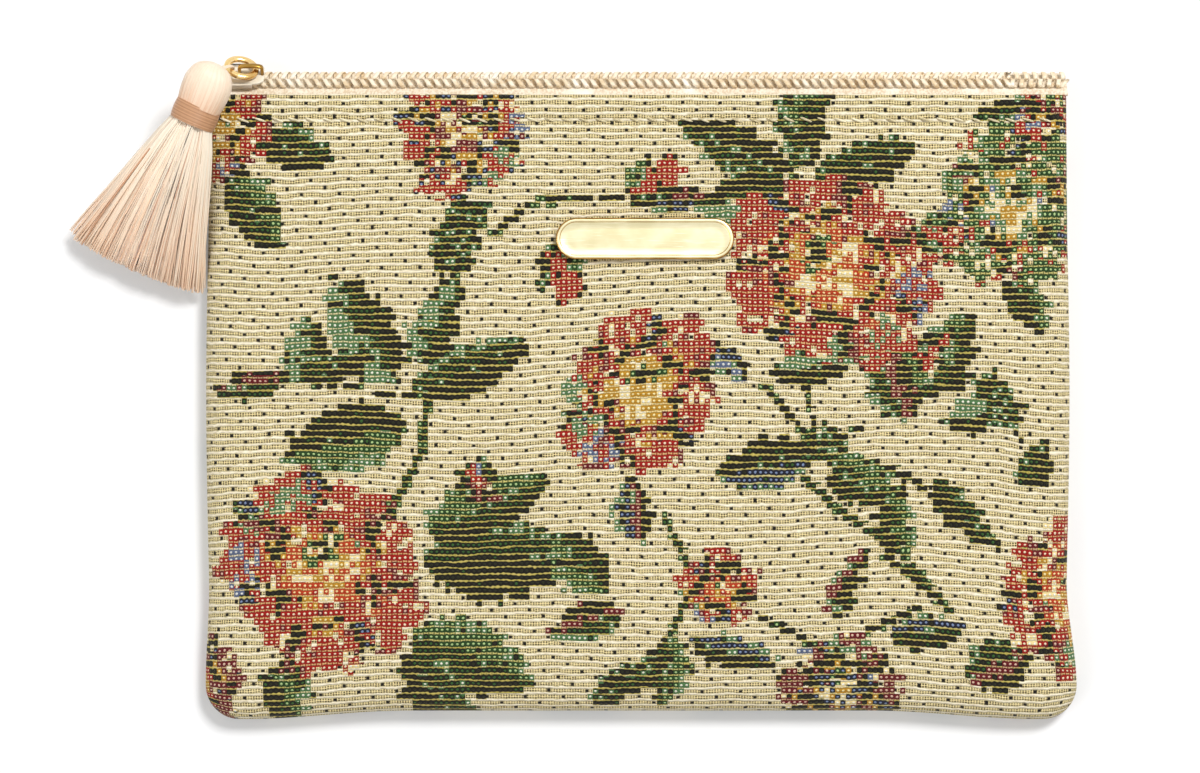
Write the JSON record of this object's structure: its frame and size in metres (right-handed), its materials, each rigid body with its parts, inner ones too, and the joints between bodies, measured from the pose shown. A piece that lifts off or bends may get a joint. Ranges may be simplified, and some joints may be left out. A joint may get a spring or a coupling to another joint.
{
  "type": "flat zip pouch",
  "caption": "Small flat pouch of ribbed flowered tapestry cloth, lying on its back, with a coil zip along the top, a gold slider and ring with a silky tassel, and a bare metal name plate",
  "frame": {"origin": "on the resting face of the back panel, at the middle of the pouch", "axes": "+X along the zip towards its open end, +Y towards the mouth, +Z out of the front"},
  "size_m": [0.1651, 0.1083, 0.0147],
  "materials": {
    "tapestry": "ribbed jacquard tapestry weave, cotton, matt",
    "lining_cloth": "plain woven lining, matt",
    "zip_tape": "cream woven polyester tape",
    "zip_coil": "cream nylon coil, slightly translucent",
    "gold_metal": "polished gold plating",
    "plate_metal": "satin champagne gold",
    "backing_steel": "plain thin sheet",
    "tassel_thread": "silky rayon thread",
    "binding_thread": "fine wound silky thread"
  },
  "bodies": {
    "pouch": {"front_panel": "tapestry", "back_panel": "tapestry", "lining_front": "lining_cloth", "lining_back": "lining_cloth", "zip_tape_front": "zip_tape", "zip_tape_back": "zip_tape", "zip_coil_front": "zip_coil", "zip_coil_back": "zip_coil", "name_plate": "plate_metal", "plate_backing": "backing_steel"},
    "slider": {"slider_body": "gold_metal"},
    "ring": {"pull_ring": "gold_metal"},
    "tassel": {"tassel_loop": "tassel_thread", "tassel_head": "tassel_thread", "tassel_binding": "binding_thread", "tassel_skirt": "tassel_thread"}
  },
  "joints": [
    {"name": "slider_slide", "type": "slide", "parent": "pouch", "child": "slider", "axis": [1, 0, 0], "range_m": [0, 0.126], "deforming": ["zip_coil_front", "zip_coil_back", "zip_tape_front", "zip_tape_back", "tassel_skirt"]},
    {"name": "ring_hinge", "type": "hinge", "parent": "slider", "child": "ring", "pos_m": [-0.06225, 0.05476, 0.00578], "axis": [0, 0.766, -0.6428], "range_deg": [0, 95]},
    {"name": "tassel_hinge", "type": "hinge", "parent": "ring", "child": "tassel", "pos_m": [-0.06634, 0.05462, 0.00733], "axis": [-0.9164, 0.4003, 0], "range_deg": [0, 90]}
  ]
}
